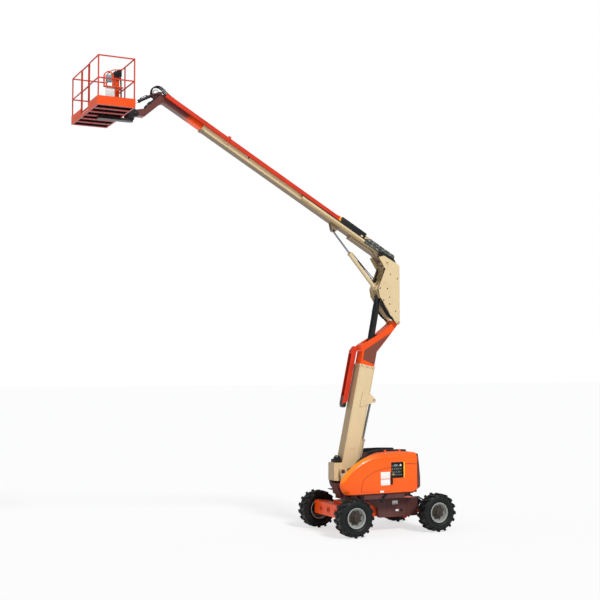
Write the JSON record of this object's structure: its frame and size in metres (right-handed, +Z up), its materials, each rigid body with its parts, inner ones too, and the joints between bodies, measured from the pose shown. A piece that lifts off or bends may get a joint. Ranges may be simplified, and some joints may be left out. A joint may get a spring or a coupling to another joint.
{
  "type": "articulating boom lift",
  "caption": "Self-propelled articulating boom lift: wheeled chassis, turntable with hoods, telescopic tower, upright, telescopic main boom and railed work platform.",
  "frame": {"origin": "on the ground midway between the two axles, on the centre line", "axes": "+X from the machine towards its platform, +Y to its left, +Z up"},
  "size_m": [9.7948, 2.44, 11.5768],
  "materials": {
    "black_plastic": "satin",
    "cream_paint": "satin",
    "dark_paint": "satin",
    "engine": "satin",
    "hose_rubber": "matte",
    "maroon_cast": "satin",
    "maroon_paint": "satin",
    "orange_paint": "gloss",
    "orange_shell": "gloss",
    "red_paint": "satin",
    "rim_paint": "satin",
    "rod_chrome": "polished",
    "tyre": "matte"
  },
  "bodies": {
    "chassis": {"chassis_frame": "orange_paint", "side_boxes": "maroon_paint", "fixed_axle": "orange_paint", "steer_axle": "dark_paint", "swing_bearing": "dark_paint"},
    "knuckle_left": {"knuckle_left": "dark_paint"},
    "knuckle_right": {"knuckle_right": "dark_paint"},
    "tie_rod": {"tie_rod": "dark_paint"},
    "wheel_fixed_left": {"tyre_fixed_left": "tyre", "rim_fixed_left": "rim_paint"},
    "wheel_fixed_right": {"tyre_fixed_right": "tyre", "rim_fixed_right": "rim_paint"},
    "wheel_steer_left": {"tyre_steer_left": "tyre", "rim_steer_left": "rim_paint"},
    "wheel_steer_right": {"tyre_steer_right": "tyre", "rim_steer_right": "rim_paint"},
    "turntable": {"turntable_frame": "maroon_paint", "counterweight": "maroon_cast", "power_unit": "engine", "tanks": "black_plastic", "control_panel": "black_plastic", "cowls": "orange_shell", "top_covers": "black_plastic"},
    "hood_left": {"hood_left": "orange_shell"},
    "hood_right": {"hood_right": "orange_shell"},
    "tower_lift_barrel": {"tower_lift_barrel": "dark_paint"},
    "tower_lift_rod": {"tower_lift_rod": "rod_chrome"},
    "tower_base": {"tower_base": "cream_paint"},
    "tower_fly": {"tower_fly": "orange_paint", "hose_carrier": "red_paint", "tower_track": "hose_rubber"},
    "upright": {"upright": "cream_paint"},
    "level_barrel": {"level_barrel": "dark_paint"},
    "level_rod": {"level_rod": "rod_chrome"},
    "main_lift_barrel": {"main_lift_barrel": "cream_paint"},
    "main_lift_rod": {"main_lift_rod": "rod_chrome"},
    "boom_base": {"boom_base": "cream_paint", "track_trough": "dark_paint", "hose_track": "hose_rubber"},
    "boom_fly": {"boom_fly": "orange_paint", "push_tube": "red_paint"},
    "slave_barrel": {"slave_barrel": "dark_paint"},
    "slave_rod": {"slave_rod": "rod_chrome"},
    "platform_support": {"platform_support": "dark_paint"},
    "platform": {"platform_floor": "orange_paint", "platform_rails": "red_paint", "control_console": "orange_shell"},
    "platform_gate": {"platform_gate": "red_paint"}
  },
  "joints": [
    {"name": "swing", "type": "hinge", "parent": "chassis", "child": "turntable", "pos_m": [0.25, 0, 0.86], "axis": [0, 0, 1], "range_deg": [-200, 200]},
    {"name": "steer_left", "type": "hinge", "parent": "chassis", "child": "knuckle_left", "pos_m": [-1.24, 0.74, 0.5], "axis": [0, 0, 1], "range_deg": [-30, 30]},
    {"name": "steer_right", "type": "hinge", "parent": "chassis", "child": "knuckle_right", "pos_m": [-1.24, -0.74, 0.5], "axis": [0, 0, 1], "range_deg": [-30, 30]},
    {"name": "tie_rod_link", "type": "hinge", "parent": "knuckle_left", "child": "tie_rod", "pos_m": [-1.47, 0.74, 0.5], "axis": [0, 0, 1], "range_deg": [-30, 30]},
    {"name": "wheel_fixed_left_spin", "type": "hinge", "parent": "chassis", "child": "wheel_fixed_left", "pos_m": [1.24, 1.03, 0.5], "axis": [0, 1, 0], "continuous": true},
    {"name": "wheel_fixed_right_spin", "type": "hinge", "parent": "chassis", "child": "wheel_fixed_right", "pos_m": [1.24, -1.03, 0.5], "axis": [0, 1, 0], "continuous": true},
    {"name": "wheel_steer_left_spin", "type": "hinge", "parent": "knuckle_left", "child": "wheel_steer_left", "pos_m": [-1.24, 1.03, 0.5], "axis": [0, 1, 0], "continuous": true},
    {"name": "wheel_steer_right_spin", "type": "hinge", "parent": "knuckle_right", "child": "wheel_steer_right", "pos_m": [-1.24, -1.03, 0.5], "axis": [0, 1, 0], "continuous": true},
    {"name": "hood_left_hinge", "type": "hinge", "parent": "turntable", "child": "hood_left", "pos_m": [0, 0.421, 2.111], "axis": [1, 0, 0], "range_deg": [0, 60]},
    {"name": "hood_right_hinge", "type": "hinge", "parent": "turntable", "child": "hood_right", "pos_m": [0, -0.421, 2.111], "axis": [-1, 0, 0], "range_deg": [0, 60]},
    {"name": "tower_lift", "type": "hinge", "parent": "turntable", "child": "tower_base", "pos_m": [1.15, 0, 1.6], "axis": [0, 1, 0], "range_deg": [-78, 0]},
    {"name": "tower_extend", "type": "slide", "parent": "tower_base", "child": "tower_fly", "axis": [-0.2079, 0, 0.9781], "range_m": [-0.28, 0.92]},
    {"name": "upright_level", "type": "hinge", "parent": "tower_fly", "child": "upright", "pos_m": [-0.57526, 0, 5.53223], "axis": [0, 1, 0], "range_deg": [-2, 80]},
    {"name": "tower_lift_tilt", "type": "hinge", "parent": "turntable", "child": "tower_lift_barrel", "pos_m": [0.74, 0, 1.02], "axis": [0, 1, 0], "range_deg": [-76, 2]},
    {"name": "tower_lift_slide", "type": "slide", "parent": "tower_lift_barrel", "child": "tower_lift_rod", "axis": [-0.237, 0, 0.9715], "range_m": [-0.885, 0.01]},
    {"name": "level_tilt", "type": "hinge", "parent": "upright", "child": "level_barrel", "pos_m": [-0.08526, 0, 6.22723], "axis": [0, 1, 0], "range_deg": [-76, 2]},
    {"name": "level_slide", "type": "slide", "parent": "level_barrel", "child": "level_rod", "axis": [0.1944, 0, -0.9809], "range_m": [-1.03, 0.01]},
    {"name": "boom_lift", "type": "hinge", "parent": "upright", "child": "boom_base", "pos_m": [-0.23526, 0, 7.14223], "axis": [0, -1, 0], "range_deg": [-33, 45]},
    {"name": "boom_extend", "type": "slide", "parent": "boom_base", "child": "boom_fly", "axis": [0.8665, 0, 0.4992], "range_m": [-0.9, 3.6]},
    {"name": "main_lift_tilt", "type": "hinge", "parent": "upright", "child": "main_lift_barrel", "pos_m": [-0.00026, 0, 6.44723], "axis": [0, -1, 0], "range_deg": [-27, 36.5]},
    {"name": "main_lift_slide", "type": "slide", "parent": "main_lift_barrel", "child": "main_lift_rod", "axis": [0.6528, 0, 0.7576], "range_m": [-0.4, 0.545]},
    {"name": "platform_level", "type": "hinge", "parent": "boom_fly", "child": "platform_support", "pos_m": [6.79994, 0, 10.52989], "axis": [0, -1, 0], "range_deg": [-46, 34]},
    {"name": "slave_tilt", "type": "hinge", "parent": "boom_fly", "child": "slave_barrel", "pos_m": [6.36061, 0, 11.05001], "axis": [0, -1, 0], "range_deg": [-2, 3]},
    {"name": "slave_slide", "type": "slide", "parent": "slave_barrel", "child": "slave_rod", "axis": [0.8796, 0, -0.4758], "range_m": [-0.15, 0.2]},
    {"name": "platform_rotate", "type": "hinge", "parent": "platform_support", "child": "platform", "pos_m": [6.92994, 0, 10.39989], "axis": [0, 0, 1], "range_deg": [-90, 90]},
    {"name": "gate_swing", "type": "hinge", "parent": "platform", "child": "platform_gate", "pos_m": [8.03194, 0.36, 10.45989], "axis": [0, 0, -1], "range_deg": [0, 85]}
  ],
  "couplings": [
    {"joint": "steer_right", "follows": "steer_left", "ratio": 1},
    {"joint": "tie_rod_link", "follows": "steer_left", "ratio": -1},
    {"joint": "upright_level", "follows": "tower_lift", "ratio": -1},
    {"joint": "tower_lift_tilt", "follows": "tower_lift", "ratio": 0.97},
    {"joint": "tower_lift_slide", "follows": "tower_lift", "m_per_rad": 0.64},
    {"joint": "level_tilt", "follows": "tower_lift", "ratio": 0.9},
    {"joint": "level_slide", "follows": "tower_lift", "m_per_rad": 0.75},
    {"joint": "main_lift_tilt", "follows": "boom_lift", "ratio": 0.79},
    {"joint": "main_lift_slide", "follows": "boom_lift", "m_per_rad": 0.68},
    {"joint": "platform_level", "follows": "boom_lift", "ratio": -1},
    {"joint": "slave_tilt", "follows": "boom_lift", "ratio": 0.04},
    {"joint": "slave_slide", "follows": "boom_lift", "m_per_rad": 0.25}
  ]
}
